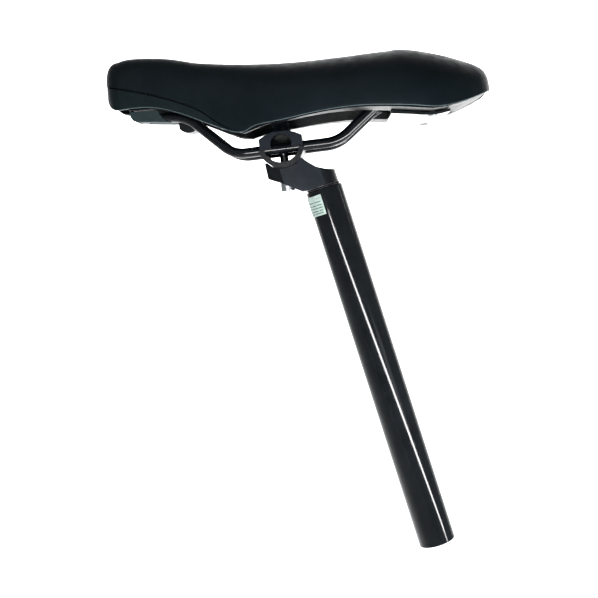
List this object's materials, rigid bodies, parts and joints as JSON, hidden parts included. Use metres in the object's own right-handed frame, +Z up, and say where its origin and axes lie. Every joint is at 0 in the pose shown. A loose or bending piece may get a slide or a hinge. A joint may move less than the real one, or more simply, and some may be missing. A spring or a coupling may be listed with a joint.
{
  "type": "suspension seatpost",
  "caption": "Inclined tube seatpost with a hidden sprung stage, and a padded leather-look saddle held by its two rails in a tilting clamp.",
  "frame": {"origin": "centre of the bottom end of the seat tube, which is what the bicycle frame holds", "axes": "+X towards the tail of the saddle, +Y towards the left of the rider, +Z up; the tube leans 18 degrees towards -X at its top; Y = 0 is the plane of symmetry"},
  "size_m": [0.2747, 0.1404, 0.3601],
  "materials": {
    "gloss_black": "gloss black paint",
    "forging": "dark blue-grey satin coating over forged aluminium",
    "steel": "bright zinc or plain steel",
    "bush": "natural nylon",
    "rubber": "matt black rubber",
    "base": "smooth black plastic",
    "grey": "dark grey moulded plastic",
    "cover": "fine-grained synthetic leather, satin black with a blue tint",
    "foam": "open polyurethane foam",
    "label": null
  },
  "bodies": {
    "post": {"seat_tube": "gloss_black", "label": "label", "dust_wiper": "rubber", "upper_bush": "bush", "guide_key_front": "steel", "guide_key_rear": "steel", "coil_spring": "steel"},
    "plug": {"preload_plug": "bush"},
    "head_group": {"head": "forging", "plunger": "steel", "lower_bush": "bush", "spring_cap": "bush"},
    "clamp_group": {"lower_cradle": "forging", "upper_clamp": "forging", "rocker_washer": "steel", "clamp_bolt": "steel", "clamp_nut": "forging"},
    "saddle_group": {"saddle_shell": "base", "foam_pad": "foam", "cover_top": "cover", "cover_side_band": "cover", "rail_left": "gloss_black", "rail_right": "gloss_black", "rear_rail_socket_left": "base", "rear_rail_socket_right": "base", "nose_housing": "grey", "rail_spacer": "base", "nose_screw": "steel", "tail_plate": "base", "tail_screw_left": "steel", "tail_screw_right": "steel"}
  },
  "joints": [
    {"name": "suspension_travel", "type": "slide", "parent": "post", "child": "head_group", "axis": [-0.309, 0, 0.9511], "range_m": [0, 0.03]},
    {"name": "saddle_tilt", "type": "hinge", "parent": "head_group", "child": "clamp_group", "pos_m": [-0.11442, 0, 0.29098], "axis": [0, 1, 0], "range_deg": [-8, 8]},
    {"name": "saddle_slide", "type": "slide", "parent": "clamp_group", "child": "saddle_group", "axis": [0.9925, 0, 0.1219], "range_m": [-0.018, 0.01]},
    {"name": "preload_turn", "type": "hinge", "parent": "post", "child": "plug", "pos_m": [0, 0, 0], "axis": [-0.309, 0, 0.9511], "continuous": true}
  ]
}
